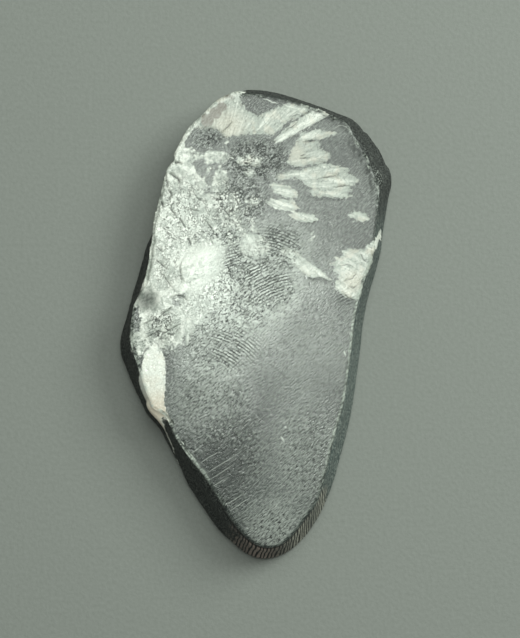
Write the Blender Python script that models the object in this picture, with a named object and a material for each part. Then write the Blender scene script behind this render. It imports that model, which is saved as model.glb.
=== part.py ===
"""A sawn and polished slab of chrysanthemum stone, lying on its flat underside.

Units are metres, +Z is up and +Y runs along the slab to its broad end. The origin is the middle of
the slab's outline, on the surface that it lies on.
"""

import math

import bpy
from mathutils import Vector

# Driving dimensions of the slab
LENGTH = 0.0743
WIDTH = 0.0430
THICKNESS = 0.0070

# The side, from the underside up
FOOT_ROUNDING = 0.0006
FOOT_HEIGHT = 0.0008
BELLY_HEIGHT = 0.0036
BELLY_FLARE = 0.60
SHOULDER_HEIGHT = 0.0067
SHOULDER_FLARE = 0.10
RIM_ROUNDING = 0.0002
STEPS_BETWEEN_POINTS = 2

# Finish of the bare stone
STONE_COLOUR = (0.062, 0.075, 0.070, 1.0)
STONE_ROUGHNESS = 0.38
STONE_IOR = 1.56

MM = 0.001

# The edge of the polished face, clockwise from the top of the broad end. Each row is x and y of the
# edge and then how far the sawn side flares out below it, all in millimetres.
BROAD_END = (
    (-2.1, 35.4, 1.6),
    (0.6, 35.2, 1.8),
    (3.7, 34.6, 1.8),
    (6.8, 33.8, 1.6),
    (10.0, 32.6, 1.7),
    (12.8, 31.3, 1.9),
)
CORNER_FACET = (
    (13.9, 30.7, 2.1),
    (14.6, 29.9, 2.3),
    (14.9, 29.1, 2.7),
    (15.5, 28.1, 2.9),
    (16.3, 26.6, 3.1),
    (17.0, 25.8, 3.0),
    (17.4, 24.9, 3.0),
    (17.7, 23.7, 3.3),
    (18.3, 22.4, 3.3),
    (18.8, 21.2, 2.8),
    (19.0, 20.3, 2.1),
)
STRAIGHT_SIDE = (
    (19.0, 19.2, 1.8),
    (18.9, 17.9, 1.7),
    (18.5, 14.3, 1.5),
    (18.2, 11.5, 1.5),
    (17.9, 9.6, 1.3),
    (17.2, 7.4, 1.4),
    (16.5, 5.4, 1.5),
    (15.9, 3.5, 1.6),
    (15.1, -0.3, 1.7),
    (14.8, -3.1, 1.7),
    (14.4, -6.2, 1.7),
    (13.5, -12.4, 1.7),
    (12.7, -15.5, 1.9),
    (11.8, -18.6, 2.0),
    (10.3, -24.7, 1.8),
)
NARROW_END = (
    (9.3, -27.8, 1.6),
    (8.4, -29.3, 1.8),
    (7.2, -30.9, 2.0),
    (6.0, -32.5, 2.0),
    (4.7, -33.9, 1.9),
    (3.5, -34.7, 1.9),
    (2.1, -35.0, 2.1),
    (0.6, -34.8, 2.3),
    (-0.8, -34.0, 2.4),
    (-2.3, -32.6, 2.5),
)
SLANTED_SIDE = (
    (-3.6, -30.9, 2.9),
    (-5.7, -27.6, 3.1),
    (-7.9, -24.1, 3.2),
    (-9.0, -22.8, 2.9),
    (-10.1, -21.5, 2.3),
    (-11.1, -20.1, 2.1),
    (-12.7, -17.7, 1.8),
    (-13.3, -16.2, 2.0),
    (-14.1, -14.8, 2.2),
    (-15.2, -14.1, 1.9),
    (-16.1, -13.5, 1.5),
    (-16.4, -12.6, 1.6),
)
BULGING_SIDE = (
    (-17.1, -11.0, 1.7),
    (-18.1, -7.8, 2.1),
    (-18.6, -6.2, 2.2),
    (-19.1, -4.7, 2.3),
    (-19.4, -3.1, 2.1),
    (-19.4, -1.6, 1.8),
    (-19.3, 0.0, 1.4),
    (-19.1, 1.4, 1.2),
    (-18.9, 2.3, 1.2),
    (-18.3, 3.2, 1.6),
    (-17.7, 4.5, 1.8),
    (-17.1, 6.4, 1.8),
    (-16.5, 9.3, 1.6),
    (-16.4, 10.9, 1.3),
    (-16.1, 12.4, 1.1),
    (-16.1, 13.7, 0.6),
)
CRYSTAL_EDGE = (
    (-15.9, 15.4, 0.2),
    (-15.4, 17.6, 0.2),
    (-14.8, 19.8, 0.2),
    (-14.4, 21.7, 0.2),
    (-13.9, 23.5, 0.2),
    (-12.9, 24.9, 0.3),
    (-12.8, 25.8, 0.3),
    (-12.1, 27.3, 0.2),
    (-11.1, 29.1, 0.2),
    (-9.9, 30.7, 0.3),
    (-8.3, 32.2, 0.3),
    (-6.6, 34.0, 0.4),
    (-5.1, 34.9, 0.5),
    (-3.2, 35.7, 0.9),
)
OUTLINE = (
    BROAD_END + CORNER_FACET + STRAIGHT_SIDE + NARROW_END + SLANTED_SIDE + BULGING_SIDE + CRYSTAL_EDGE
)

# Each level of the side: its height, the share of the flare that it has, and how far it is drawn in
SIDE_LEVELS = (
    (0.0, 1.0, FOOT_ROUNDING),
    (FOOT_HEIGHT * 0.3, 1.0, FOOT_ROUNDING * 0.25),
    (FOOT_HEIGHT, 1.0, 0.0),
    (BELLY_HEIGHT, BELLY_FLARE, 0.0),
    (SHOULDER_HEIGHT, SHOULDER_FLARE, 0.0),
    (THICKNESS - RIM_ROUNDING * 0.3, 0.0, 0.0),
    (THICKNESS, 0.0, RIM_ROUNDING),
)


def clear_scene():
    """Removes every object, so that the slab stands alone."""
    for old in list(bpy.data.objects):
        bpy.data.objects.remove(old, do_unlink=True)


def curve_point(before, start, end, after, t):
    """A point between start and end on the smooth curve through four neighbours."""
    bend = 2 * before - 5 * start + 4 * end - after
    twist = 3 * start - before - 3 * end + after
    return 0.5 * (2 * start + (end - before) * t + bend * t * t + twist * t * t * t)


def smooth_outline(rows):
    """The closed outline through the rows, as vectors of x, y and flare in metres."""
    points = [Vector(row) * MM for row in rows]
    count = len(points)
    smooth = []
    for i in range(count):
        before = points[i - 1]
        start = points[i]
        end = points[(i + 1) % count]
        after = points[(i + 2) % count]
        for step in range(STEPS_BETWEEN_POINTS):
            smooth.append(curve_point(before, start, end, after, step / STEPS_BETWEEN_POINTS))
    return smooth


def outward_directions(outline):
    """The level direction that points away from the stone at each point of a clockwise outline."""
    count = len(outline)
    directions = []
    for i in range(count):
        along = outline[(i + 1) % count] - outline[i - 1]
        directions.append(Vector((-along.y, along.x, 0.0)).normalized())
    return directions


def side_rings(outline):
    """One ring of points for each level of the side, from the underside to the polished face."""
    outward = outward_directions(outline)
    rings = []
    for height, flare_share, drawn_in in SIDE_LEVELS:
        ring = []
        for point, direction in zip(outline, outward):
            reach = point.z * flare_share - drawn_in
            ring.append(Vector((point.x, point.y, height)) + direction * reach)
        rings.append(ring)
    return rings


def fit_to_size(rings):
    """Centres the widest outline on the origin and brings it to the slab's length and width."""
    xs = [point.x for ring in rings for point in ring]
    ys = [point.y for ring in rings for point in ring]
    middle = Vector(((min(xs) + max(xs)) / 2, (min(ys) + max(ys)) / 2, 0.0))
    stretch_x = WIDTH / (max(xs) - min(xs))
    stretch_y = LENGTH / (max(ys) - min(ys))
    for ring in rings:
        for point in ring:
            point.x = (point.x - middle.x) * stretch_x
            point.y = (point.y - middle.y) * stretch_y


def slab_mesh(rings):
    """Joins the rings into one closed body with a flat underside and a flat polished face."""
    count = len(rings[0])
    vertices = [point for ring in rings for point in ring]
    faces = [tuple(range(count))]
    for level in range(len(rings) - 1):
        low = level * count
        high = low + count
        for i in range(count):
            after = (i + 1) % count
            faces.append((low + after, low + i, high + i, high + after))
    top = (len(rings) - 1) * count
    faces.append(tuple(top + i for i in reversed(range(count))))
    mesh = bpy.data.meshes.new("stone")
    mesh.from_pydata(vertices, [], faces)
    mesh.validate()
    mesh.shade_smooth()
    mesh.set_sharp_from_angle(angle=math.radians(35))
    return mesh


def stone_material():
    """Dark grey-green polished limestone."""
    material = bpy.data.materials.new("polished_dark_limestone")
    material.use_nodes = True
    shader = material.node_tree.nodes["Principled BSDF"]
    shader.inputs["Base Color"].default_value = STONE_COLOUR
    shader.inputs["Roughness"].default_value = STONE_ROUGHNESS
    shader.inputs["Metallic"].default_value = 0.0
    shader.inputs["IOR"].default_value = STONE_IOR
    return material


def make_stone():
    """The one piece of this object."""
    rings = side_rings(smooth_outline(OUTLINE))
    fit_to_size(rings)
    stone = bpy.data.objects.new("stone", slab_mesh(rings))
    stone.data.materials.append(stone_material())
    bpy.context.scene.collection.objects.link(stone)


clear_scene()
make_stone()
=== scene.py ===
"""The looks of a sawn and polished slab of chrysanthemum stone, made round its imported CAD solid.

Lengths are millimetres until the mesh is made, which is in metres. +Y runs along the slab to its broad
end, +Z is up through the polished face, and z = 0 is the surface that the slab lies on.
"""

import math
from functools import partial

import bpy
import numpy as np
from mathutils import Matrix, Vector, kdtree, noise
from mathutils.geometry import delaunay_2d_cdt


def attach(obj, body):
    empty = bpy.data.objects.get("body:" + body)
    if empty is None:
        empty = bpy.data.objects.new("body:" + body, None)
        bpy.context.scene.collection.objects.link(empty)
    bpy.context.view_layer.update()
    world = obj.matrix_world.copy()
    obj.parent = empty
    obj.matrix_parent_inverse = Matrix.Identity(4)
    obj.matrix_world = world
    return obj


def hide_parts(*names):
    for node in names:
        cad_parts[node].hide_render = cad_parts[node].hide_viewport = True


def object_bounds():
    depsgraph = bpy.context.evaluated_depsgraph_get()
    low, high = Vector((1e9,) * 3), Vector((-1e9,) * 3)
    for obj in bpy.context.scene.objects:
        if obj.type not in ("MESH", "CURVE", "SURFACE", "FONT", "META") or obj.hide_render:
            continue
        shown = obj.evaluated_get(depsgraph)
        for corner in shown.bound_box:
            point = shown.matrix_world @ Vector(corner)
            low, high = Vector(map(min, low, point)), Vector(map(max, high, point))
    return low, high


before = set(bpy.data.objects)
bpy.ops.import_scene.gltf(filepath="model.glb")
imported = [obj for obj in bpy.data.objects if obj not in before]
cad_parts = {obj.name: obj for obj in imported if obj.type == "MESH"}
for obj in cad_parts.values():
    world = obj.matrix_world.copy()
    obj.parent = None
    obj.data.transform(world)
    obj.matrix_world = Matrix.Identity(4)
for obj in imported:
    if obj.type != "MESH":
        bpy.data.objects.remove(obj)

cad_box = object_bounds()

# The sawn body
# One piece of dark limestone, sawn to a long rounded wedge and ground round its side, which flares out
# from the polished face to the underside. The CAD solid's own rings give the shape, and finer points
# are drawn between them.

MM = 0.001
SAME_HEIGHT = 0.002
# A ring's last and first few points are repeated past its ends, so that its curve closes smoothly.
OVERLAP = 3
BELLY_RING = 3
TRIAL_STEPS = 20000
COLUMN_GAP = 0.22
RIB_PITCH = 0.62
POINTS_PER_RIB = 7
# The ribbed stretch of the side, in degrees round from +X.
RIBS_FROM = -95.5
RIBS_TO = -68.0
# Heights of the points up the side, closest together at the foot and under the rim.
SIDE_HEIGHTS = (0.0, 0.1, 0.24, 0.5, 0.8)
SIDE_HEIGHTS += tuple(np.arange(1.1, 5.9, 0.3))
SIDE_HEIGHTS += (6.1, 6.25, 6.4, 6.5, 6.6, 6.7, 6.8, 6.88, 6.94, 6.98, 7.0)


def smooth_between(places, values, wanted):
    """Values at the wanted places, on the smooth curve through rows of values at known places."""
    steps = np.diff(places)[:, None]
    slopes = np.diff(values, axis=0) / steps
    leans = np.empty_like(values)
    leans[0] = slopes[0]
    leans[-1] = slopes[-1]
    leans[1:-1] = (slopes[:-1] * steps[1:] + slopes[1:] * steps[:-1]) / (steps[:-1] + steps[1:])
    i = np.clip(np.searchsorted(places, wanted) - 1, 0, len(places) - 2)
    step = steps[i]
    t = (wanted - places[i])[:, None] / step
    return (
        values[i] * (1 + 2 * t) * (1 - t) ** 2
        + leans[i] * step * t * (1 - t) ** 2
        + values[i + 1] * t * t * (3 - 2 * t)
        + leans[i + 1] * step * t * t * (t - 1)
    )


def cad_rings():
    """The CAD solid's rings from the underside up: the height, angles and reaches of each."""
    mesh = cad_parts["stone"].data
    flat = np.empty(len(mesh.vertices) * 3)
    mesh.vertices.foreach_get("co", flat)
    corners = flat.reshape(-1, 3) / MM
    rings = []
    for height in np.unique(corners[:, 2].round(3)):
        ring = corners[abs(corners[:, 2] - height) < SAME_HEIGHT]
        turns = np.arctan2(ring[:, 1], ring[:, 0]).round(4)
        angles, first = np.unique(turns, return_index=True)
        rings.append((height, angles, np.hypot(ring[first, 0], ring[first, 1])))
    return rings


def ring_reach(ring, angles):
    """How far a CAD ring reaches from the middle of the slab at each angle."""
    _, known, reaches = ring
    round_again = np.concatenate((known[-OVERLAP:] - 2 * math.pi, known, known[:OVERLAP] + 2 * math.pi))
    reaches = np.concatenate((reaches[-OVERLAP:], reaches, reaches[:OVERLAP]))
    return smooth_between(round_again, reaches[:, None], angles)[:, 0]


def towards(angles, reaches):
    """Points on the level at the given angles and reaches."""
    return np.column_stack((np.cos(angles) * reaches, np.sin(angles) * reaches))


def column_places(ring):
    """Angles of the upright columns of points round the side, and the length run along a ring to each."""
    fine = np.linspace(-math.pi, math.pi, TRIAL_STEPS + 1)
    steps = np.linalg.norm(np.diff(towards(fine, ring_reach(ring, fine)), axis=0), axis=1)
    ribbed = (fine[1:] < math.radians(RIBS_TO)) & (fine[1:] > math.radians(RIBS_FROM))
    gaps = np.where(ribbed, RIB_PITCH / POINTS_PER_RIB, COLUMN_GAP)
    turns = np.concatenate(((0.0,), np.cumsum(steps / gaps)))
    run = np.concatenate(((0.0,), np.cumsum(steps)))
    count = int(turns[-1])
    at = np.arange(count) * turns[-1] / count
    return np.interp(at, turns, fine), np.interp(at, turns, run)


rings = cad_rings()
thickness = rings[-1][0]
column_angles, column_runs = column_places(rings[BELLY_RING])
column_count = len(column_angles)
ring_heights = np.array([height for height, _, _ in rings])
known_reaches = np.array([ring_reach(ring, column_angles) for ring in rings])
side_reaches = smooth_between(ring_heights, known_reaches, np.array(SIDE_HEIGHTS))
side_points = np.concatenate([
    np.column_stack((towards(column_angles, reaches), np.full(column_count, height)))
    for height, reaches in zip(SIDE_HEIGHTS, side_reaches)
])

# Cracks, scratches and lint on the polished face
# Fine open cracks that follow the crystals, scratches from handling and a few fibres of lint that lie on
# the face. Each is a row of points in the face's mesh with one on either side, sunk or raised there.

ROW_STEP = 0.17
LINE_SEED = 3
# The size of a line's wandering, how far it goes, and the same for the quicker jitter on top.
LINE_WANDERS = ((0.9, 0.07), (0.35, 0.10))
LINE_END = 0.12
CRACKS = (
    ((7.3, 27.8), (8.5, 28.0), (9.9, 28.1)),
    ((6.8, 25.6), (7.6, 25.9)),
    ((6.8, 25.1), (8.2, 25.4)),
    ((6.4, 31.0), (5.7, 30.3), (4.9, 29.9), (4.6, 29.5)),
    ((8.7, 32.9), (8.1, 32.5), (7.3, 32.0)),
    ((-3.8, 31.0), (-4.4, 30.3), (-5.2, 29.5)),
    ((9.8, 22.0), (11.0, 22.3), (12.7, 22.5)),
    ((12.1, 20.7), (13.2, 20.9), (14.6, 20.9)),
    ((-2.1, 23.9), (-1.1, 24.0), (0.3, 23.9)),
    ((-15.6, 9.3), (-14.6, 8.5), (-13.7, 7.8)),
    ((-14.5, 7.0), (-13.9, 6.2), (-13.1, 4.9)),
    ((-11.9, 8.5), (-11.8, 7.4), (-11.7, 6.4), (-11.2, 5.9)),
    ((-17.6, -0.8), (-16.5, -0.2), (-15.4, 0.1), (-14.3, 1.1), (-13.2, 1.8)),
    ((-17.4, -2.9), (-16.3, -2.4), (-15.2, -1.7), (-14.3, -2.0), (-13.1, -1.4), (-12.0, -0.8)),
    ((-7.8, 15.3), (-7.2, 14.5), (-6.6, 13.7)),
    ((-12.2, 16.0), (-11.6, 15.3), (-11.1, 14.5)),
    ((-10.3, 17.4), (-9.7, 17.1), (-8.9, 17.0)),
    ((-10.7, 12.6), (-10.3, 12.0), (-10.2, 11.5)),
    ((-13.4, 3.4), (-12.4, 3.8), (-11.3, 3.6), (-10.7, 2.9)),
    ((-15.4, 11.2), (-14.7, 10.7), (-14.3, 10.6)),
    ((-9.4, 19.3), (-8.9, 18.7), (-8.1, 18.6)),
    ((-5.2, 17.4), (-4.6, 16.7), (-4.3, 16.0)),
    ((-13.6, 17.6), (-13.1, 17.0), (-12.9, 16.5)),
)
SEAMS = (
    ((11.5, 31.8), (9.6, 31.0), (7.3, 29.7), (6.0, 28.9), (5.1, 28.1), (3.9, 27.5)),
    ((5.3, 31.8), (6.2, 32.1), (7.0, 32.2)),
    ((8.7, 24.0), (9.6, 24.2)),
    ((8.4, 19.3), (9.6, 18.9), (11.0, 18.9), (12.1, 18.8), (13.2, 18.7), (14.0, 19.0)),
    ((4.9, 23.7), (5.9, 23.6), (6.7, 23.9)),
    ((6.7, 22.2), (7.4, 21.1), (8.5, 20.6)),
    ((7.7, 15.2), (8.7, 15.1), (9.4, 15.5)),
    ((8.2, 6.5), (8.8, 6.2), (9.6, 6.4), (10.2, 6.4), (11.1, 5.9), (11.9, 5.9)),
    ((13.6, 4.0), (14.4, 3.3), (15.3, 3.0)),
    ((12.9, 8.3), (14.0, 8.6), (15.1, 8.3)),
    ((15.6, 7.4), (14.9, 6.4), (13.7, 6.0)),
    ((14.3, 5.3), (15.1, 4.9), (15.8, 5.4)),
    ((16.2, 10.4), (16.6, 9.4), (17.4, 8.8)),
    ((17.2, 11.4), (18.0, 11.2), (18.4, 10.4)),
)
DARK_SCRATCHES = (
    ((2.1, -7.0), (3.7, -8.2), (5.2, -9.6)),
    ((-1.7, -13.2), (-0.5, -14.1), (0.9, -15.5)),
)
PALE_SCRATCHES = (
    ((-10.5, -20.9), (-9.5, -20.3), (-8.5, -19.5)),
    ((-9.0, -22.4), (-7.4, -21.3), (-5.6, -20.3)),
    ((-8.0, -23.9), (-6.1, -22.7), (-4.2, -21.6), (-2.2, -20.3)),
    ((-7.5, -24.9), (-5.4, -23.6), (-3.3, -22.2)),
    ((-7.1, -26.0), (-5.2, -24.8), (-4.0, -24.2)),
    ((-5.2, -28.9), (-3.4, -27.8), (-1.8, -26.7)),
    ((-4.5, -29.8), (-2.7, -28.6), (-1.1, -27.5)),
)
RIM_CHIPS = (
    ((12.3, 30.1), (13.1, 30.5), (13.9, 30.3), (14.5, 29.7)),
    ((0.9, 34.7), (1.8, 34.5), (2.6, 34.0), (3.5, 33.9)),
    ((4.0, 33.9), (4.9, 33.4), (6.4, 33.1)),
    ((-10.6, -20.3), (-10.1, -20.9), (-9.3, -21.6)),
    ((-11.6, -18.7), (-11.1, -19.4)),
)
LINT = (
    ((13.6, -4.8), (13.7, -5.2), (13.8, -5.6)),
    ((4.4, -16.5), (4.7, -16.8)),
    ((3.8, -18.1), (4.1, -18.4), (4.3, -18.8)),
)
# Crevices are sunk and painted fully dark, as the shade in them.
CREVICES = (
    ((-14.5, 22.6), (-14.0, 21.7), (-13.9, 20.7)),
    ((-13.5, 22.9), (-12.8, 22.4), (-12.1, 22.0), (-11.9, 21.3)),
    ((-13.7, 20.3), (-13.3, 19.6), (-13.6, 18.9)),
    ((-13.2, 25.1), (-12.5, 24.6), (-11.8, 24.5)),
    ((-15.2, 19.0), (-14.6, 18.2), (-14.6, 17.3)),
)
# Each kind of line: its lines, half its width, how far it is sunk, how dark and how pale it is, and how
# much of the wander it takes.
LINE_KINDS = (
    (CREVICES, 0.38, 0.30, 1.0, 0.0, 1.0),
    (CRACKS, 0.13, 0.06, 1.0, 0.0, 1.0),
    (SEAMS, 0.14, 0.03, 0.8, 0.0, 1.0),
    (DARK_SCRATCHES, 0.13, 0.01, 0.6, 0.0, 0.2),
    (PALE_SCRATCHES, 0.09, 0.005, 0.0, 0.55, 0.2),
    (RIM_CHIPS, 0.15, 0.03, 0.0, 0.9, 1.0),
    (LINT, 0.22, -0.03, 0.0, 1.0, 1.0),
)


def even_steps(line, step):
    """Points an even step apart along a line through corner points."""
    corners = np.array(line)
    lengths = np.concatenate(((0.0,), np.cumsum(np.linalg.norm(np.diff(corners, axis=0), axis=1))))
    at = np.linspace(0.0, lengths[-1], max(3, round(lengths[-1] / step) + 1))
    return np.column_stack((np.interp(at, lengths, corners[:, 0]), np.interp(at, lengths, corners[:, 1])))


def wandering(points, size, amount):
    """Points moved a little off their line, by smooth noise of the given size."""
    moves = [noise.noise_vector(Vector((x / size, y / size, 0.0)))[:2] for x, y in points]
    return points + np.array(moves) * amount


def line_rows():
    """Points of every line on the face, three abreast, and their sink, darkness and paleness."""
    noise.seed_set(LINE_SEED)
    places = []
    marks = []
    for lines, half_width, sink, dark, pale, wander in LINE_KINDS:
        for line in lines:
            middle = even_steps(line, ROW_STEP)
            for size, reach in LINE_WANDERS:
                middle = wandering(middle, size, reach * wander)
            along = np.gradient(middle, axis=0)
            across = np.column_stack((-along[:, 1], along[:, 0]))
            across /= np.linalg.norm(across, axis=1)[:, None]
            fade = np.sin(np.linspace(LINE_END, math.pi - LINE_END, len(middle))) ** 0.5
            for side in (-1, 0, 1):
                places.append(middle + across * (side * half_width * fade)[:, None])
                strength = fade * (side == 0)
                marks.append(np.column_stack((strength * sink, strength * dark, strength * pale)))
    return np.concatenate(places), np.concatenate(marks)


# The polished face and the underside
# Both are flat saw cuts. The top is polished and the underside is left as it was sawn and ground. Each is
# an even net of points inside the ring that it meets.

FACE_GAP = 0.215
UNDERSIDE_GAP = 0.55
# A net's rows are this share of its gap apart, and a point nearer than this to a fixed one is left out.
ROW_SHARE = math.sqrt(0.75)
CLEAR_SHARE = 0.6
NET_TOLERANCE = 1e-7


def net_inside(edge, gap, extra):
    """An even net inside a closed edge. Its points are the edge's, then the extra ones, then the grid."""
    fixed = np.concatenate((edge, extra))
    nearby = kdtree.KDTree(len(fixed))
    for i, (x, y) in enumerate(fixed):
        nearby.insert((x, y, 0.0), i)
    nearby.balance()
    edge_angles = np.arctan2(edge[:, 1], edge[:, 0])
    edge_reaches = np.hypot(edge[:, 0], edge[:, 1])
    low = edge.min(axis=0)
    high = edge.max(axis=0)
    rows = []
    for row, y in enumerate(np.arange(low[1], high[1], gap * ROW_SHARE)):
        xs = np.arange(low[0] + (row % 2) * gap / 2, high[0], gap)
        rows.append(np.column_stack((xs, np.full(len(xs), y))))
    grid = np.concatenate(rows)
    limit = np.interp(np.arctan2(grid[:, 1], grid[:, 0]), edge_angles, edge_reaches, period=2 * math.pi)
    grid = grid[np.hypot(grid[:, 0], grid[:, 1]) < limit]
    clear = [nearby.find((x, y, 0.0))[2] > gap * CLEAR_SHARE for x, y in grid]
    points = np.concatenate((fixed, grid[clear]))
    count = len(edge)
    edges = [(i, (i + 1) % count) for i in range(count)]
    flat = [Vector(point) for point in points]
    placed, _, faces, _, _, _ = delaunay_2d_cdt(flat, edges, [], 1, NET_TOLERANCE)
    if len(placed) != len(points):
        raise ValueError("two points of the net are in one place")
    return points, np.array(faces)


top_edge = side_points[-column_count:, :2]
foot_edge = side_points[:column_count, :2]
row_points, row_marks = line_rows()
face_points, face_triangles = net_inside(top_edge, FACE_GAP, row_points)
under_points, under_triangles = net_inside(foot_edge, UNDERSIDE_GAP, np.empty((0, 2)))

# All the points of the slab: the side's, then those inside the face, then those inside the underside.
inner_face = np.insert(face_points[column_count:], 2, thickness, axis=1)
inner_under = np.insert(under_points[column_count:], 2, 0.0, axis=1)
points = np.concatenate((side_points, inner_face, inner_under))
side_total = len(side_points)
under_start = side_total + len(inner_face)
angles = np.arctan2(points[:, 1], points[:, 0])
reaches = np.hypot(points[:, 0], points[:, 1])
on_face = np.zeros(len(points), dtype=bool)
on_face[side_total - column_count:under_start] = True
on_underside = np.zeros(len(points), dtype=bool)
on_underside[:column_count] = True
on_underside[under_start:] = True
depth = thickness - points[:, 2]
sink, dark_line, pale_line = np.zeros((3, len(points)))
on_lines = slice(side_total, side_total + len(row_points))
sink[on_lines], dark_line[on_lines], pale_line[on_lines] = row_marks.T

# The crystal flower
# White calcite blades that grew outwards from one heart in the mud, now cut across by the saw and
# polished flush with the dark stone. Each outline is the edge of a blade on the polished face, with how
# milky that blade is.

HEART = (-5.9, 21.8)
BLADES = (
    (0.36, (
        (-10.4, 30.0), (-9.3, 31.3), (-7.9, 32.7), (-6.8, 33.8), (-5.8, 34.8), (-4.7, 35.4), (-3.0, 36.3),
        (-2.9, 35.9), (-2.3, 34.2), (-1.4, 32.6), (0.0, 32.2), (0.4, 31.8), (1.0, 32.4), (2.3, 32.9),
        (3.9, 33.6), (5.3, 34.0), (6.7, 33.6), (7.9, 33.5), (8.7, 33.0), (7.6, 32.2), (6.5, 31.6),
        (5.1, 31.1), (4.3, 30.2), (2.8, 28.9), (0.9, 29.1), (-1.5, 28.9), (-3.5, 28.7), (-4.9, 28.4),
        (-5.7, 29.4), (-6.3, 29.9), (-8.3, 29.9),
    )),
    (0.62, (
        (2.6, 28.0), (3.2, 28.8), (4.0, 29.5), (5.0, 30.4), (6.0, 31.1), (7.0, 32.0), (8.3, 33.0),
        (10.0, 32.9), (11.5, 32.1), (9.6, 31.0), (7.3, 29.7), (6.0, 28.9), (4.9, 28.3), (3.9, 27.7),
    )),
    (0.50, (
        (6.8, 29.1), (7.8, 29.5), (9.9, 29.9), (11.2, 29.6), (12.1, 29.4), (12.9, 29.2), (11.8, 28.9),
        (10.9, 28.6), (9.8, 28.1), (8.1, 28.0), (6.7, 28.3),
    )),
    (0.33, (
        (6.7, 28.8), (5.9, 27.3), (5.4, 26.6), (4.9, 25.6), (4.8, 24.5), (5.3, 24.2), (6.3, 23.9),
        (8.2, 24.0), (9.9, 24.4), (11.2, 24.5), (11.7, 25.5), (11.5, 26.2), (10.6, 26.4), (9.9, 26.9),
        (10.1, 28.0), (8.1, 28.1),
    )),
    (0.37, (
        (2.9, 22.3), (3.5, 22.9), (4.5, 23.1), (5.4, 23.4), (7.3, 23.7), (9.5, 24.2), (10.7, 24.5),
        (13.2, 24.0), (14.9, 23.4), (14.4, 22.8), (15.4, 22.5), (16.5, 21.8), (14.9, 20.9), (14.6, 20.4),
        (15.2, 20.3), (14.3, 19.6), (15.4, 19.3), (13.0, 18.9), (10.7, 19.0), (8.7, 19.3), (8.4, 20.0),
        (8.5, 20.6), (7.3, 21.2), (6.8, 22.2), (4.9, 22.0), (3.4, 21.8),
    )),
    (0.50, (
        (1.9, 21.4), (3.7, 21.4), (5.1, 21.0), (6.0, 20.4), (6.7, 19.4), (5.4, 18.9), (4.1, 19.2),
        (2.6, 20.0),
    )),
    (0.52, (
        (1.2, 18.4), (2.0, 18.8), (3.1, 19.0), (5.3, 18.7), (6.2, 18.4), (7.0, 17.3), (5.2, 16.8),
        (4.0, 17.0), (2.2, 17.7),
    )),
    (0.55, (
        (4.7, 16.5), (5.7, 16.7), (6.9, 16.9), (8.8, 16.4), (10.0, 15.7), (8.9, 15.2), (7.7, 15.0),
        (6.4, 15.3),
    )),
    (0.45, (
        (14.2, 16.5), (15.1, 17.1), (16.1, 17.0), (17.0, 16.8), (17.9, 16.0), (17.3, 15.3), (16.2, 15.1),
        (15.0, 15.6),
    )),
    (0.45, (
        (3.1, 10.9), (4.6, 11.5), (5.6, 11.2), (6.8, 10.3), (7.7, 9.3), (9.6, 8.2), (11.0, 7.1),
        (11.8, 6.2), (10.7, 6.4), (9.6, 6.7), (8.7, 6.4), (7.4, 7.1), (6.5, 8.1), (4.9, 9.0), (4.3, 9.9),
    )),
    (0.46, (
        (13.6, 10.9), (14.6, 11.2), (16.3, 10.9), (17.7, 12.0), (18.5, 12.6), (19.1, 12.6), (18.8, 11.2),
        (17.8, 9.6), (18.0, 9.0), (17.3, 7.1), (16.4, 6.4), (16.3, 4.6), (15.9, 3.3), (15.2, 3.0),
        (14.3, 3.3), (13.4, 3.9), (12.5, 4.6), (12.2, 5.5), (12.6, 6.4), (12.4, 7.1), (11.6, 7.6),
        (12.1, 8.2), (10.9, 8.9), (12.4, 9.2), (11.8, 9.9), (13.2, 9.9),
    )),
    (0.85, (
        (-16.0, -3.6), (-15.2, -3.8), (-14.6, -4.7), (-14.1, -6.2), (-14.0, -8.6), (-14.1, -11.7),
        (-13.9, -14.1), (-12.9, -16.4), (-13.7, -17.3), (-15.3, -15.7), (-16.7, -13.7), (-18.4, -10.1),
        (-17.8, -7.5), (-17.4, -5.3), (-16.8, -4.2),
    )),
    (0.56, (
        (-3.2, 25.0), (-2.6, 25.8), (-1.0, 26.0), (0.5, 25.6), (1.0, 24.9), (0.4, 24.0), (-2.0, 23.9),
        (-2.9, 24.4),
    )),
    (0.52, ((-2.1, 23.7), (-0.4, 23.7), (-0.2, 22.6), (-1.4, 22.3), (-2.1, 23.1))),
    (0.53, (
        (-2.6, 12.6), (-1.4, 13.3), (0.3, 13.4), (1.6, 12.8), (2.2, 11.5), (1.7, 10.3), (0.2, 9.6),
        (-1.6, 9.4), (-2.6, 10.4),
    )),
    (0.85, ((-6.6, 33.6), (-5.9, 34.8), (-5.0, 34.6), (-5.4, 33.7), (-6.2, 33.1))),
    (0.62, ((-11.1, 0.3), (-10.3, 0.6), (-10.0, -0.9), (-10.3, -2.9), (-10.8, -4.0), (-11.2, -2.4))),
)
# Dark windows in the broken white part, where the mud shows between the grains.
WINDOWS = (
    ((-10.7, 29.5), (-8.8, 30.0), (-6.8, 29.5), (-5.4, 28.4), (-5.7, 27.5), (-6.9, 27.0), (-8.0, 26.2),
     (-9.1, 26.2), (-9.9, 27.0), (-10.7, 28.1)),
    ((-9.9, 24.5), (-9.2, 25.0), (-8.2, 25.0), (-7.8, 24.4), (-8.0, 23.3), (-8.3, 22.2), (-8.9, 22.5),
     (-9.6, 23.4)),
    ((-4.8, 24.4), (-4.1, 24.9), (-2.9, 24.8), (-2.1, 23.7), (-2.1, 22.5), (-0.7, 21.8), (0.0, 22.5),
     (1.2, 23.7), (1.8, 22.6), (2.4, 21.4), (1.8, 20.3), (0.9, 19.8), (-1.8, 20.0), (-3.3, 20.6),
     (-4.2, 22.2)),
)
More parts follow.
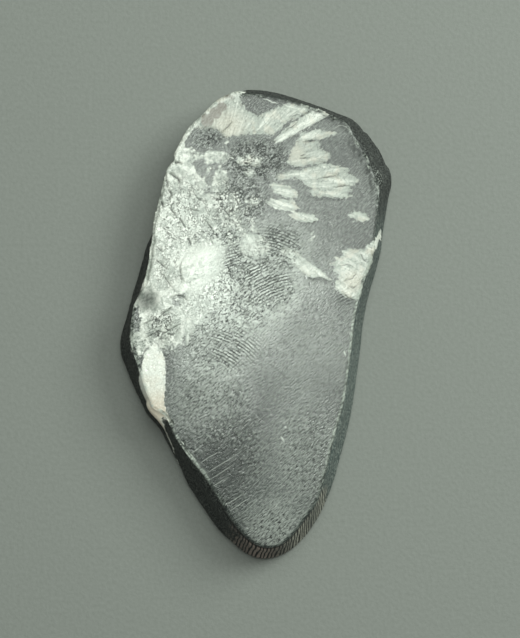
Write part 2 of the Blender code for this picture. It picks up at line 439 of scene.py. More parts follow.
# Clouds of broken white grains: middle, reach both ways, share of the stone covered, and milkiness.
CLOUDS = (
    (-8.2, 8.7, 5.2, 5.2, 1.00, 0.65),
    (-5.8, 4.9, 3.0, 3.4, 1.00, 0.60),
    (-12.0, 6.3, 2.6, 3.2, 1.00, 0.80),
    (-14.9, 8.0, 2.8, 4.0, 1.00, 0.86),
    (-9.2, 16.5, 3.8, 5.2, 1.00, 0.90),
    (-5.9, 21.4, 1.7, 3.4, 0.80, 0.45),
    (-13.3, 13.0, 4.8, 9.5, 1.00, 0.78),
    (-11.3, 21.0, 4.6, 6.5, 0.92, 0.55),
    (-7.4, 25.6, 5.0, 2.2, 0.80, 0.42),
    (-6.0, 16.4, 6.4, 5.6, 0.70, 0.53),
    (-9.2, 3.0, 3.0, 5.2, 0.95, 0.58),
    (-13.9, -0.9, 5.0, 4.2, 0.95, 0.57),
    (-16.0, 4.2, 4.2, 5.2, 1.00, 0.57),
    (-2.6, 18.5, 5.0, 4.0, 0.36, 0.50),
    (-1.0, 22.5, 6.5, 5.0, 0.24, 0.40),
    (-2.5, 13.5, 3.5, 4.5, 0.55, 0.50),
    (8.5, 13.0, 0.9, 0.7, 0.45, 0.40),
    (-3.6, 19.6, 0.8, 0.8, 0.85, 0.80),
    (-0.7, 18.6, 1.4, 1.0, 0.80, 0.65),
    (-3.3, 16.6, 1.4, 1.0, 0.80, 0.70),
    (-5.0, 28.0, 0.8, 0.6, 0.80, 0.50),
    (-17.8, -3.0, 3.0, 3.2, 0.80, 0.32),
    (-11.9, 25.9, 1.9, 2.6, 0.95, 0.60),
)
CLOUD_WANDER = 1.4
PLAIN_MILK = 0.4
# Depths below the face between which the grains thin out, and how fast a blade narrows with depth.
GRAIN_DEPTHS = (0.1, 1.0)
BLADE_TAPER = 0.6
BLADE_FRINGE = 0.3
FAR_OUTSIDE = -9.0
CORNER_CUT = 0.2
SAME_PLACE = 1e-6
WINDOW_CLEARNESS = 0.85
WINDOW_SOFTNESS = 0.35
FINE_LUMP = 0.45
COARSE_LUMP = 1.6
RIM_MARGIN = 0.02
# The broken edge: the places along the slab where it starts, those across the slab where it ends, and
# how far in from the rim it fades out. Below its top its ends stray with the coarse and fine lumps.
BROKEN_FROM = (12.5, 14.5)
BROKEN_TO = (-2.8, -1.6)
BROKEN_GAP = (0.3, 0.9)
BROKEN_STRAY = (3.5, 1.2)
BROKEN_TOP = 0.3
BROKEN_MILK = 0.6


def eased(start, end, values):
    """0 before the start, 1 past the end and a smooth S between, either way along."""
    t = np.clip((values - start) / (end - start), 0.0, 1.0)
    return t * t * (3 - 2 * t)


def corners_cut(outline):
    """A closed outline with each corner cut once, which rounds it a little."""
    start = np.array(outline)
    end = np.roll(start, -1, axis=0)
    kept = 1.0 - CORNER_CUT
    return np.stack((start * kept + end * CORNER_CUT, start * CORNER_CUT + end * kept), axis=1).reshape(-1, 2)


def nearest_on(start, end, spots):
    """The place on a straight piece of line that is nearest to each spot, and its share of the way along."""
    along = end - start
    share = np.clip((spots - start) @ along / max(along @ along, SAME_PLACE), 0.0, 1.0)
    return start + share[:, None] * along, share


def depth_inside(spots, outline):
    """How far each spot on the face is inside a closed outline, negative outside it."""
    nearest = np.full(len(spots), np.inf)
    inside = np.zeros(len(spots), dtype=bool)
    for start, end in zip(outline, np.roll(outline, -1, axis=0)):
        nearest = np.minimum(nearest, np.linalg.norm(spots - nearest_on(start, end, spots)[0], axis=1))
        straddles = (spots[:, 1] < start[1]) != (spots[:, 1] < end[1])
        slope = (end[0] - start[0]) / (end[1] - start[1] or 1.0)
        inside ^= straddles & (spots[:, 0] < start[0] + (spots[:, 1] - start[1]) * slope)
    return np.where(inside, nearest, -nearest)


def share_out(spots, x, y, reach_x, reach_y):
    """How far each spot is from the middle of an oval patch, as a share of its reach."""
    return np.hypot((spots[:, 0] - x) / reach_x, (spots[:, 1] - y) / reach_y)


def grain_clouds(spots, clouds):
    """How much of the stone the clouds of grains cover at each spot, and how milky they are there."""
    cover = np.zeros(len(spots))
    milkiness = np.full(len(spots), PLAIN_MILK)
    for x, y, reach_x, reach_y, covered, milky in clouds:
        inside = 1.0 - eased(0.5, 1.1, share_out(spots, x, y, reach_x, reach_y))
        cover = np.maximum(cover, covered * inside)
        milkiness = milkiness + np.maximum(milky - milkiness, 0.0) * inside
    return cover, milkiness


def grain(size, shift=0.0):
    """Smooth noise from about -1 to 1 at every point, with lumps of the given size."""
    return np.array([noise.noise(Vector(point) / size + Vector((shift, 0.0, 0.0))) for point in points])


fine_lumps = grain(FINE_LUMP)
coarse_lumps = grain(COARSE_LUMP, 5.0)

# Each spot of the side belongs to the spot of the rim above it, from where the crystals run down.
rim_reaches = ring_reach(rings[-1], angles)
face_spots = towards(angles, np.minimum(reaches, rim_reaches - RIM_MARGIN))
strayed_spots = face_spots + CLOUD_WANDER * np.column_stack((coarse_lumps, grain(COARSE_LUMP, 9.0)))
cover, milk = grain_clouds(strayed_spots, CLOUDS)
for outline in WINDOWS:
    inside = depth_inside(face_spots, corners_cut(outline))
    cover *= 1.0 - WINDOW_CLEARNESS * eased(-WINDOW_SOFTNESS, WINDOW_SOFTNESS, inside)
cover *= 1.0 - eased(*GRAIN_DEPTHS, depth)
blade = np.full(len(points), FAR_OUTSIDE)
for milkiness, outline in BLADES:
    inside = depth_inside(face_spots, corners_cut(outline)) - BLADE_TAPER * depth
    milk = np.where((inside > blade) & (inside > -BLADE_FRINGE), milkiness, milk)
    blade = np.maximum(blade, inside)

# The broken crystal edge runs up the left of the broad end, where the side itself is white.
stray = BROKEN_STRAY[0] * coarse_lumps + BROKEN_STRAY[1] * fine_lumps
stray = np.where(depth > BROKEN_TOP, stray, 0.0)
broken_edge = eased(*BROKEN_FROM, points[:, 1] + stray)
broken_edge *= 1.0 - eased(*BROKEN_TO, points[:, 0] + stray)
rim_gap = rim_reaches - np.minimum(reaches, rim_reaches)
broken_edge *= (1.0 - eased(*BROKEN_GAP, rim_gap)) * np.where(on_underside, 0.0, 1.0)
cover = np.maximum(cover, broken_edge)
milk = np.where(broken_edge > 0.5, np.maximum(milk, BROKEN_MILK), milk)

# The flower on the underside
# The same kind of blades where the lower saw cut meets them, round a heart of their own, since the blades
# lean as they grow. It is hidden, so its layout is a likely one.

UNDER_HEART = (-1.5, 12.0)
UNDER_SEED = 7
UNDER_BLADES = 17
# The least and most of each blade: its start from the heart, length, half width and milkiness.
UNDER_STARTS = (2.5, 8.0)
UNDER_LENGTHS = (5.0, 12.0)
UNDER_HALF_WIDTHS = (0.6, 1.5)
UNDER_MILK = (0.45, 0.9)
UNDER_BEND = 0.25
UNDER_DEPTH = 3.0
UNDER_CLOUDS = (
    (-9.0, 14.0, 6.0, 9.0, 0.7, 0.7),
    (-1.5, 12.0, 4.0, 4.0, 0.5, 0.6),
    (3.0, 24.0, 5.0, 3.0, 0.35, 0.6),
)
UNDER_CLOUD_HEIGHT = 0.8


def under_flower():
    """How far each point is inside a blade of the lower flower, and how milky it is."""
    pick = np.random.default_rng(UNDER_SEED)
    inside = np.full(len(points), FAR_OUTSIDE)
    white = np.zeros(len(points))
    offset = points[:, :2] - np.array(UNDER_HEART)
    for i in range(UNDER_BLADES):
        turn = 2 * math.pi * (i + pick.uniform(-0.35, 0.35)) / UNDER_BLADES
        start = pick.uniform(*UNDER_STARTS)
        length = pick.uniform(*UNDER_LENGTHS)
        half_width = pick.uniform(*UNDER_HALF_WIDTHS)
        along = (offset @ np.array((math.cos(turn), math.sin(turn))) - start) / length
        across = offset @ np.array((-math.sin(turn), math.cos(turn)))
        bulge = np.clip(1.0 - (2.0 * along - 1.0) ** 2, 0.0, 1.0) ** 0.7
        leaf = half_width * bulge - abs(across + UNDER_BEND * np.sin(along * 5.0 + i))
        leaf = np.where((along > 0.0) & (along < 1.0), leaf, -1.0)
        milkiness = pick.uniform(*UNDER_MILK)
        white = np.where(leaf > inside, milkiness, white)
        inside = np.maximum(inside, leaf)
    return inside - BLADE_TAPER * points[:, 2], white


lower_blade, lower_milk = under_flower()
milk = np.where(lower_blade > blade, lower_milk, milk)
blade = np.maximum(blade, np.where(depth > UNDER_DEPTH, lower_blade, FAR_OUTSIDE))
lower_cover, _ = grain_clouds(points[:, :2], UNDER_CLOUDS)
cover = np.maximum(cover, lower_cover * (1.0 - eased(0.0, UNDER_CLOUD_HEIGHT, points[:, 2])))

# Thin white veins on the flank
# The lower leaf runs over the rim as a brown-stained tail and thins to a vein along the foot, and the lump
# at the right rim laps a little way down the flank. Each is a run of places and half widths.

VEINS = (
    (
        (-15.9, -13.6, 6.4, 1.30), (-15.5, -14.9, 5.8, 1.25), (-15.0, -16.1, 5.0, 1.10),
        (-14.5, -17.2, 4.0, 0.85), (-14.0, -18.0, 3.4, 0.50), (-13.5, -18.9, 3.0, 0.32),
        (-12.9, -20.1, 2.5, 0.24), (-12.5, -21.4, 1.7, 0.22), (-11.9, -23.0, 0.8, 0.20),
        (-11.1, -24.5, 1.2, 0.10),
    ),
    ((18.9, 11.9, 6.2, 1.00), (19.5, 13.1, 4.6, 1.00), (20.0, 13.8, 3.2, 0.80), (20.3, 12.9, 2.3, 0.50)),
)
VEIN_MILK = 0.8
# The first places of the tail, where it is so thick that it bulges out of the flank.
TAIL_PLACES = 5


def vein_inside(vein):
    """How far each point is inside a tapering vein, negative outside it."""
    inside = np.full(len(points), FAR_OUTSIDE)
    vein = np.array(vein)
    for start, end in zip(vein, vein[1:]):
        nearest, share = nearest_on(start[:3], end[:3], points)
        half_width = start[3] + share * (end[3] - start[3])
        inside = np.maximum(inside, half_width - np.linalg.norm(points - nearest, axis=1))
    return inside


tail_bulge = eased(-0.5, 0.3, vein_inside(VEINS[0][:TAIL_PLACES]))
for vein in VEINS:
    inside = vein_inside(vein)
    milk = np.where(inside > blade, VEIN_MILK, milk)
    blade = np.maximum(blade, inside)

# Stains, film, painted glare and shade, and touch marks
# Iron-brown stains are in the stone. A soft hollow near the left rim is sunk a little and painted dark as
# the shade in it. On the stone lies a thin greasy film, streaked and pitted, with skin-ridge smudges in it:
# even fine arcs, laid out as a generic pattern. The film's pale veil is partly painted glare off the polish.

# Brown stains: place, reach and strength.
STAINS = (
    (-7.6, 31.3, 1.8, 1.0),
    (-6.4, 32.4, 1.5, 1.0),
    (-5.4, 33.4, 1.4, 0.8),
    (-4.2, 34.9, 1.6, 0.6),
    (-9.3, 29.9, 1.0, 0.5),
    (15.8, 9.4, 1.4, 0.35),
)
# Crystal that has yellowed to cream, in the same way.
CREAMY = (
    (-14.8, -14.5, 5.5, 0.9),
    (-4.5, 30.2, 4.2, 0.38),
    (15.0, 6.0, 2.5, 0.4),
    (6.0, 26.0, 2.5, 0.35),
)
# The soft hollow near the left rim: place, reach and strength. It is painted dark as the shade in it.
HOLLOWS = ((-17.0, 3.1, 2.6, 1.0),)
HOLLOW_DEPTH = 0.05
LEAST_PITTED = 0.4
# Patches of film and painted glare: middle, reach both ways, its thickness, and how pitted it is.
FILMS_AND_GLARE = (
    (-2.5, 4.3, 10.5, 11.0, 0.84, 0.86),
    (-3.0, 7.5, 6.0, 8.0, 0.72, 0.95),
    (3.2, 11.0, 7.0, 7.0, 0.50, 0.90),
    (2.4, 5.0, 6.5, 6.0, 0.72, 0.84),
    (-5.0, 1.5, 6.0, 6.0, 0.45, 0.70),
    (-4.3, -4.2, 5.5, 5.5, 0.45, 0.75),
    (8.5, 8.5, 8.0, 7.0, 0.20, 0.50),
    (-4.5, -12.0, 6.5, 5.0, 0.22, 0.75),
    (13.0, -7.0, 4.0, 5.0, 0.05, 0.40),
    (-6.0, -4.0, 9.0, 9.0, 0.52, 0.75),
    (-9.0, -11.5, 6.0, 8.0, 0.24, 0.70),
    (-11.0, 16.0, 9.0, 12.0, 0.30, 0.84),
    (-14.5, -1.0, 5.0, 4.6, 0.08, 0.97),
    (-13.5, 9.0, 5.0, 9.0, 0.15, 0.76),
    (-7.5, 28.5, 4.5, 3.0, 0.10, 1.00),
    (0.0, 25.0, 9.0, 6.0, 0.05, 1.00),
    (-3.0, 18.5, 8.0, 7.5, 0.10, 1.00),
    (-4.8, 13.0, 4.2, 3.0, 0.40, 1.00),
    (-8.5, 2.3, 6.5, 4.5, 0.40, 0.70),
    (-6.0, 15.0, 9.0, 7.0, 0.17, 0.86),
    (6.0, -1.0, 13.0, 13.0, 0.19, 0.45),
    (7.5, -20.5, 8.0, 14.0, 0.21, 0.64),
    (2.5, -32.0, 6.0, 7.0, 0.26, 0.65),
    (-4.0, -20.0, 9.0, 11.0, 0.00, 0.85),
    (9.0, 21.0, 14.0, 15.0, 0.09, 0.40),
)
# Two patches and how much they take away: of the pits in the soundest crystal, and of the film and its
# painted glare.
SOUND_HEART = (-8.4, 8.7, 4.6, 4.6)
SOUNDNESS = 0.4
WIPED_STREAK = (10.8, 13.5, 1.1, 7.0)
WIPED_SHARE = 0.5
# Patches clean of dust and of the film with its painted glare, and how clean.
CLEAN_PATCHES = (
    (-5.8, -22.9, 6.0, 5.8, 0.95),
    (12.0, 25.2, 5.0, 4.0, 0.6),
)
SMUDGE_PITCH = 0.46
# Each family of arcs: middle and reach of its patch, its strength, and the middle of its arcs.
SMUDGES = (
    (1.4, 6.0, 6.5, 6.0, 0.95, (8.0, -8.0)),
    (-3.2, 9.6, 2.8, 4.2, 0.75, (2.6, -8.8)),
    (3.4, 12.4, 5.6, 3.6, 0.9, (0.6, 3.4)),
    (-3.6, -4.3, 6.2, 5.0, 0.95, (-9.8, -14.6)),
    (13.8, 3.3, 2.4, 1.7, 0.6, (19.0, -9.0)),
    (-7.5, -12.0, 4.5, 4.0, 0.35, (-2.0, -28.0)),
)
# How much fainter a smudge is on the blades.
SMUDGE_LOSS = 0.6


def blobs(rows):
    """The strongest of several soft round blobs at each point, from rows of place, reach and strength."""
    strongest = np.zeros(len(points))
    for x, y, reach, strength in rows:
        blob = 1.0 - eased(0.2, 1.0, share_out(points, x, y, reach, reach))
        strongest = np.maximum(strongest, strength * blob)
    return strongest


def patch_strength(x, y, reach_x, reach_y):
    """A soft oval patch on the polished face: 1 in its inner third and 0 from its reach on."""
    return (1.0 - eased(0.3, 1.0, share_out(points, x, y, reach_x, reach_y))) * on_face


brown = blobs(STAINS)
creamy = blobs(CREAMY)
hollow = blobs(HOLLOWS) * (depth < 0.5)
film_and_glare = np.zeros(len(points))
pitted = np.where(on_face, LEAST_PITTED, 0.0)
for x, y, reach_x, reach_y, thickness_share, pitting in FILMS_AND_GLARE:
    patch = patch_strength(x, y, reach_x, reach_y)
    film_and_glare = film_and_glare + (1.0 - film_and_glare) * thickness_share * patch
    pitted = np.maximum(pitted, pitting * patch)
film_and_glare *= 1.0 - WIPED_SHARE * patch_strength(*WIPED_STREAK)
for x, y, reach_x, reach_y, cleanness in CLEAN_PATCHES:
    film_and_glare -= cleanness * patch_strength(x, y, reach_x, reach_y)
pitted *= 1.0 - SOUNDNESS * patch_strength(*SOUND_HEART)
smudge = np.zeros(len(points))
smudge_turn = np.zeros(len(points))
for x, y, reach_x, reach_y, strength, (arc_x, arc_y) in SMUDGES:
    patch = strength * patch_strength(x, y, reach_x, reach_y)
    arcs = np.hypot(points[:, 0] - arc_x, points[:, 1] - arc_y) / SMUDGE_PITCH
    smudge_turn = np.where(patch > smudge, arcs, smudge_turn)
    smudge = np.maximum(smudge, patch)
smudge *= 1.0 - SMUDGE_LOSS * eased(-0.2, 0.5, blade)

# Broken crystal, ribs and groove on the side
# The side of the broken crystal edge is rough. Round the narrow end the saw blade chattered, which left
# upright ribs, and a step under the rim.

RIB_DEPTH = 0.07
RIB_LEAN = 1.1
# The ribs aren't quite even: how far two slow sways move them, in pitches, and how many radians each
# turns in a millimetre, then what the fine lumps add. Their strength has a middle, a sway and patches.
RIB_SWAYS = ((0.15, 1.7), (0.09, 4.3))
RIB_ROUGHNESS = 0.05
RIB_STRENGTH = (0.78, 0.22, 0.3)
RIB_STRENGTH_SWAY = 0.9
GROOVE_HEIGHT = 6.45
GROOVE_HALF_HEIGHT = 0.2
GROOVE_DEPTH = 0.16
SAWN_ROUGHNESS = 0.05
CLEAVAGE_SIZE = np.array((1.1, 1.1, 1.9))
# Each crystal breaks at the depth that the noise has at its own middle, with the middles this far apart.
CRYSTAL_SPREAD = 3.7
# How deep the breakage is: its middle, what the crystals and the coarse and fine lumps add, and its most.
BREAKAGE = (0.30, 0.50, 0.30, 0.14)
MOST_BREAKAGE = 0.85
BREAKAGE_CLEARNESS = 0.45
RUST_SHARE = 0.6
TAIL_FILL = 0.85
# Stretches of the side in degrees round from +X: where each starts, is full, is still full and ends.
RIB_FADE = 2.0
RIB_STRETCH = (RIBS_FROM - RIB_FADE, RIBS_FROM + RIB_FADE, RIBS_TO - RIB_FADE, RIBS_TO + RIB_FADE)
RIB_STRAY = 4.0
GROOVE_STRETCH = (-104.0, -97.0, -81.0, -66.0)
TIP_STRETCH = (-102.0, -94.0, -88.0, -80.0)
DUST_AND_LIT_STRETCH = (-82.0, -60.0, 34.0, 46.0)
# The dust and the painted light on the side thin by this share between these turns. The tip's brown
# starts and is full at these places along the slab.
DUST_AND_LIGHT_LOSS = 0.25
DUST_AND_LIGHT_THINS = (-30.0, 10.0)
TIP_FROM = (-26.0, -31.0)
UNDERSIDE_DUST = 0.45
# Pale flecks on the corner facet, painted as glints, as a soft blob like a stain.
PAINTED_GLINTS = ((18.9, 22.4, 2.2, 0.45),)


def within(stretch, values):
    """1 within a stretch and 0 outside it, with the soft ends that the stretch gives."""
    start, full, still_full, end = stretch
    return eased(start, full, values) * eased(end, still_full, values)


turn = np.degrees(angles)
height = points[:, 2]
side_share = np.ones(len(points))
side_share[side_total:] = 0.0
side_run = np.zeros(len(points))
side_run[:side_total] = np.tile(column_runs, len(SIDE_HEIGHTS))
uneven = sum(sway * np.sin(rate * side_run) for sway, rate in RIB_SWAYS) + RIB_ROUGHNESS * fine_lumps
rib_turn = (side_run + RIB_LEAN * depth / thickness) / RIB_PITCH + uneven
ribbed = within(RIB_STRETCH, turn + RIB_STRAY * coarse_lumps)
ribbed *= side_share * eased(0.25, 0.7, depth) * eased(0.0, 0.5, height)
middle, sway, patches = RIB_STRENGTH
ribbed *= middle + sway * np.sin(RIB_STRENGTH_SWAY * side_run) + patches * np.clip(coarse_lumps, -0.5, 0.0)
groove = np.clip(1.0 - abs(height - GROOVE_HEIGHT) / GROOVE_HALF_HEIGHT, 0.0, 1.0)
groove *= within(GROOVE_STRETCH, turn) * side_share

# The broken crystal parts along its cleavage, so it steps in and out by one amount for each crystal.
broken_side = broken_edge * side_share
steps = np.zeros(len(points))
for i in np.flatnonzero(broken_side > 0.0):
    _, nearest = noise.voronoi(Vector(points[i] / CLEAVAGE_SIZE))
    steps[i] = noise.noise(nearest[0] * CRYSTAL_SPREAD)
breakage = sum(share * part for share, part in zip(BREAKAGE, (1.0, steps, coarse_lumps, fine_lumps)))
breakage = np.clip(breakage, 0.0, MOST_BREAKAGE)

# How far each point is drawn in from the plain side. The tail is pushed out by what the flare leaves.
inward = side_share * eased(0.0, 0.3, depth) * SAWN_ROUGHNESS * (1.0 + fine_lumps)
inward += broken_side * eased(0.0, 0.5, depth) * breakage
inward += ribbed * RIB_DEPTH * (0.5 + 0.5 * np.sin(2 * math.pi * rib_turn))
inward += groove * GROOVE_DEPTH
flare_left = np.zeros(len(points))
flare_left[:side_total] = np.tile(side_reaches[0], len(SIDE_HEIGHTS)) - reaches[:side_total]
inward -= TAIL_FILL * tail_bulge * flare_left * eased(0.05, 0.9, depth)
shape = points.copy()
shape[:, 2] -= sink + HOLLOW_DEPTH * hollow * on_face
shape[:, :2] *= (1.0 - inward / np.maximum(reaches, 1.0))[:, None]

# Marks of the side for the material. The deepest breaks are clearer, and rust has run into them.
milk -= BREAKAGE_CLEARNESS * broken_side * eased(0.25, 0.75, breakage) * eased(0.2, 0.8, depth)
rusty = eased(0.0, 0.5, coarse_lumps) * eased(1.5, 4.0, depth)
brown = np.maximum(brown, RUST_SHARE * broken_side * rusty)
sawn = np.where(on_face, 0.0, eased(0.05, 0.4, depth))
# The side is painted lighter on the right, where the panel lights it, and near black round the rest, for the
# shade and dark reflections there. The same share sets how dusty the side is.
dust_and_lit_side = within(DUST_AND_LIT_STRETCH, turn) * (1.0 - DUST_AND_LIGHT_LOSS * eased(*DUST_AND_LIGHT_THINS, turn))
dust_and_lit_side[under_start:] = UNDERSIDE_DUST
tip_brown = within(TIP_STRETCH, turn) * side_share * eased(*TIP_FROM, points[:, 1])
painted_glint = blobs(PAINTED_GLINTS) * eased(0.1, 0.5, depth) * side_share

# The rim
# A fine bevel ground round the polished face. Along the long sides it is painted pale, partly for scuffs
# and partly as a painted highlight on the bevel. At the broad end it is painted dark, as the shade and
# dark reflection on the rim there. It is nibbled by small chips, and notched where the saw cut left the
# crystal lump.

CHIP_SEED = 11
# Stretches of small chips: the angles they run between in degrees, how many, and how large.
CHIP_RUNS = (
    (-139.0, -112.0, 40, 0.15),
    (-180.0, -160.0, 24, 0.15),
    (166.0, 180.0, 14, 0.16),
    (118.0, 160.0, 40, 0.26),
    (60.0, 94.0, 26, 0.14),
    (-20.0, 22.0, 20, 0.10),
    (-70.0, -30.0, 14, 0.10),
    (44.0, 58.0, 14, 0.16),
)
# Larger bites out of the rim: place on the rim, height, and the ball that takes it out.
BITES = (
    (-14.1, -14.9, 7.0, 0.40),
    (-13.1, -15.9, 7.0, 0.35),
    (-11.6, -19.5, 7.1, 0.28),
    (-10.9, -20.4, 7.1, 0.34),
    (-14.6, 21.8, 6.2, 0.6),
    (-14.7, 20.6, 5.0, 0.8),
    (-13.1, 25.1, 6.8, 0.6),
    (17.1, 6.7, 7.0, 0.6),
    (-19.0, -3.6, 6.9, 0.35),
    (-17.8, 5.6, 7.0, 0.3),
    (-16.4, 10.6, 6.9, 0.4),
)
# The least and most of each small chip, as shares of its radius: the radius itself, how far its middle
# lies outside the rim, half its length along the rim, and its height.
CHIP_RADII = (0.6, 1.6)
CHIP_OFFSETS = (0.3, 0.8)
CHIP_LENGTHS = (0.0, 2.5)
CHIP_HEIGHTS = (0.35, 0.8)
CHIP_SUNK = 0.1
CHIP_RAGGEDNESS = 0.3
CHIP_EDGE = 0.12
BITE_OFFSET = 0.5
BITE_LIFT = 0.3
# Scuffs and a painted highlight on the two long sides: their stretches, then for the left and the right
# side how far in from the rim they reach and how much of the rim they cover at least.
SCUFF_AND_HIGHLIGHT_STRETCHES = ((-75.0, -60.0, 20.0, 30.0), (-176.0, -166.0, -112.0, -95.0))
TIP_TURN = -95.0
SCUFF_AND_HIGHLIGHT_REACHES = (0.34, 0.19)
LEAST_SCUFFS_AND_HIGHLIGHTS = (0.1, 0.5)
# The scuff and painted highlight is full this near the rim. It fades this much faster down the side, and
# ends at this depth.
FULL_SCUFF_AND_HIGHLIGHT = 0.03
SCUFF_AND_HIGHLIGHT_FALL = 1.2
SCUFF_AND_HIGHLIGHT_DEPTH = 0.6
RIM_SHADE_STRETCH = (44.0, 50.0, 84.0, 100.0)
# The painted rim shade reaches further in at the corner, between these turns, and its core is a share
# of that.
RIM_SHADE_REACH = 0.5
CORNER_RIM_SHADE = 1.7
CORNER_TURNS = (74.0, 60.0)
RIM_SHADE_CORE = 0.15


def rim_place(angle):
    """The place on the rim at an angle, and the level direction out of the stone there."""
    around = np.array((angle - 0.01, angle, angle + 0.01))
    before, place, after = towards(around, ring_reach(rings[-1], around))
    along = after - before
    out = np.array((along[1], -along[0])) / np.linalg.norm(along)
    return place, out


def chips():
    """The ends and radius of every rounded bite out of the rim: small chips are longer than wide."""
    pick = np.random.default_rng(CHIP_SEED)
    bites = []
    for start, end, count, size in CHIP_RUNS:
        for _ in range(count):
            place, out = rim_place(math.radians(pick.uniform(start, end)))
            radius = size * pick.uniform(*CHIP_RADII)
            middle = place + out * radius * pick.uniform(*CHIP_OFFSETS)
            half = np.array((-out[1], out[0])) * radius * pick.uniform(*CHIP_LENGTHS)
            level = thickness + radius * pick.uniform(*CHIP_HEIGHTS) - CHIP_SUNK
            bites.append(((*(middle - half), level), (*(middle + half), level), radius))
    for x, y, level, radius in BITES:
        _, out = rim_place(math.atan2(y, x))
        middle = (*(np.array((x, y)) + out * radius * BITE_OFFSET), level + radius * BITE_LIFT)
        bites.append((middle, middle, radius))
    return bites


chipped = np.zeros(len(points))
for start, end, radius in chips():
    nearest, _ = nearest_on(np.array(start), np.array(end), shape)
    away = np.linalg.norm(shape - nearest, axis=1)
    ragged_radius = radius * (1.0 + CHIP_RAGGEDNESS * fine_lumps)
    taken = away < ragged_radius
    pushed = nearest + (shape - nearest) * (ragged_radius / np.maximum(away, 0.01))[:, None]
    shape[taken] = pushed[taken]
    chipped[taken] = np.maximum(chipped[taken], eased(0.0, CHIP_EDGE, (ragged_radius - away)[taken]))
low_corner, high_corner = np.array(cad_box) / MM
shape = np.clip(shape, low_corner, high_corner)

from_rim = rim_reaches - reaches
# Pale along the long sides: scuffs, and a painted highlight on the rim's bevel.
left_side = turn < TIP_TURN
from_edge = np.where(on_face, from_rim, depth * SCUFF_AND_HIGHLIGHT_FALL)
scuff_and_highlight = eased(np.where(left_side, *SCUFF_AND_HIGHLIGHT_REACHES), FULL_SCUFF_AND_HIGHLIGHT, from_edge)
scuff_and_highlight *= depth < SCUFF_AND_HIGHLIGHT_DEPTH
least_scuff_and_highlight = np.where(left_side, *LEAST_SCUFFS_AND_HIGHLIGHTS)
scuff_and_highlight *= least_scuff_and_highlight + (1.0 - least_scuff_and_highlight) * eased(-0.2, 0.3, coarse_lumps + fine_lumps)
scuff_and_highlight *= sum(within(stretch, turn) for stretch in SCUFF_AND_HIGHLIGHT_STRETCHES)
# The rim at the broad end is painted dark, as the shade and dark reflection that lie on it there.
rim_shade_reach = RIM_SHADE_REACH + CORNER_RIM_SHADE * eased(*CORNER_TURNS, turn)
painted_rim_shade = eased(rim_shade_reach, RIM_SHADE_CORE * rim_shade_reach, np.where(on_face, from_rim, 0.0))
painted_rim_shade *= eased(0.5, 0.2, depth) * (0.5 + 0.9 * np.clip(fine_lumps, -0.4, 0.6))
painted_rim_shade *= within(RIM_SHADE_STRETCH, turn)

# The mesh
# One closed skin round the whole stone, since the stone is one piece. Bands of four-sided faces run round
# the side, and the two nets close it above and below. Its points carry the marks for the material.


def closed_skin():
    """Faces of the whole slab as corner numbers, pointing outwards."""
    faces = []
    for level in range(len(SIDE_HEIGHTS) - 1):
        low = level * column_count
        high = low + column_count
        for i in range(column_count):
            after = (i + 1) % column_count
            faces.append((low + i, low + after, high + after, high + i))
    face_numbers = np.arange(side_total - column_count, under_start)
    under_numbers = np.concatenate((np.arange(column_count), np.arange(under_start, len(points))))
    faces.extend(face_numbers[face_triangles].tolist())
    faces.extend(under_numbers[under_triangles][:, ::-1].tolist())
    return faces


mesh = bpy.data.meshes.new("chrysanthemum_stone")
mesh.from_pydata((shape * MM).tolist(), [], closed_skin())
mesh.shade_smooth()
MARKS = {
    "blade": np.clip(blade, -2.0, 2.0),
    "milk": milk,
    "cover": cover,
    "brown": brown,
    "creamy": creamy,
    "hollow": hollow,
    "film_and_glare": film_and_glare,
    "pitted": pitted,
    "painted_rim_shade": painted_rim_shade,
    "smudge": smudge,
    "smudge_turn": smudge_turn,
    "dark_line": dark_line,
    "pale_line": pale_line,
    "chipped": chipped,
    "scuff_and_highlight": scuff_and_highlight,
    "sawn": sawn,
    "dust_and_lit_side": dust_and_lit_side,
    "ribbed": ribbed,
    "rib_turn": rib_turn,
    "groove": groove,
    "tip_brown": tip_brown,
    "painted_glint": painted_glint,
}
for name, values in MARKS.items():
    mesh.attributes.new(name, "FLOAT", "POINT").data.foreach_set("value", values.astype(np.float32))
stone = bpy.data.objects.new("chrysanthemum_stone", mesh)
bpy.context.scene.collection.objects.link(stone)

# Polished limestone with calcite blades
# Fine dark limestone takes a satin polish: soft highlights over a faint grain. The calcite polishes to
# the same gloss, but light goes into it and comes back white, with darker threads along its fibres.

STONE_IOR = 1.56
# Sizes of the grains, fibres and marks in millimetres.
FIBRE_WIDTH = 0.40
FIBRE_LENGTH = 3.0
STRAND_WIDTH = FIBRE_WIDTH / 0.38
HEART_REACH = 15.0
FINE_SIZE = 0.42
CLUMP_SIZE = 1.2
TONE_SIZE = 8.0
STAIN_SIZE = 1.7
PIT_SIZE = 0.62
GRINDING_SIZE = 0.35
GRINDING_STRETCH = 6.0
# Real dust and polishing grain are finer than this, and are drawn this coarse to show at all.
DUST_SIZE = 0.20
DUST_STRETCH = 3.2
SCRATCH_WIDTH = 0.17
SCRATCH_LENGTH = 2.6
# The dust and the scratches run this way, as the face was wiped.
WIPE_ANGLE = math.radians(42.0)
# Heights of the fine surface in millimetres.
POLISH_HEIGHTS = (0.010, 0.018)
DUST_HEIGHT = 0.024
THREAD_HEIGHT = 0.008
GAP_DEPTH = 0.007
SCRATCH_DEPTH = 0.002
GROUND_HEIGHT = 0.035
POLISH_ROUGHNESS = (0.18, 0.23)
MOST_ROUGHNESS = 0.85
# Marks that roughen the surface, and how much each adds.
ROUGH_MARKS = (("sawn", 0.55), ("hollow", 0.5), ("chipped", 0.25), ("scuff_and_highlight", 0.2), ("painted_rim_shade", 0.35))
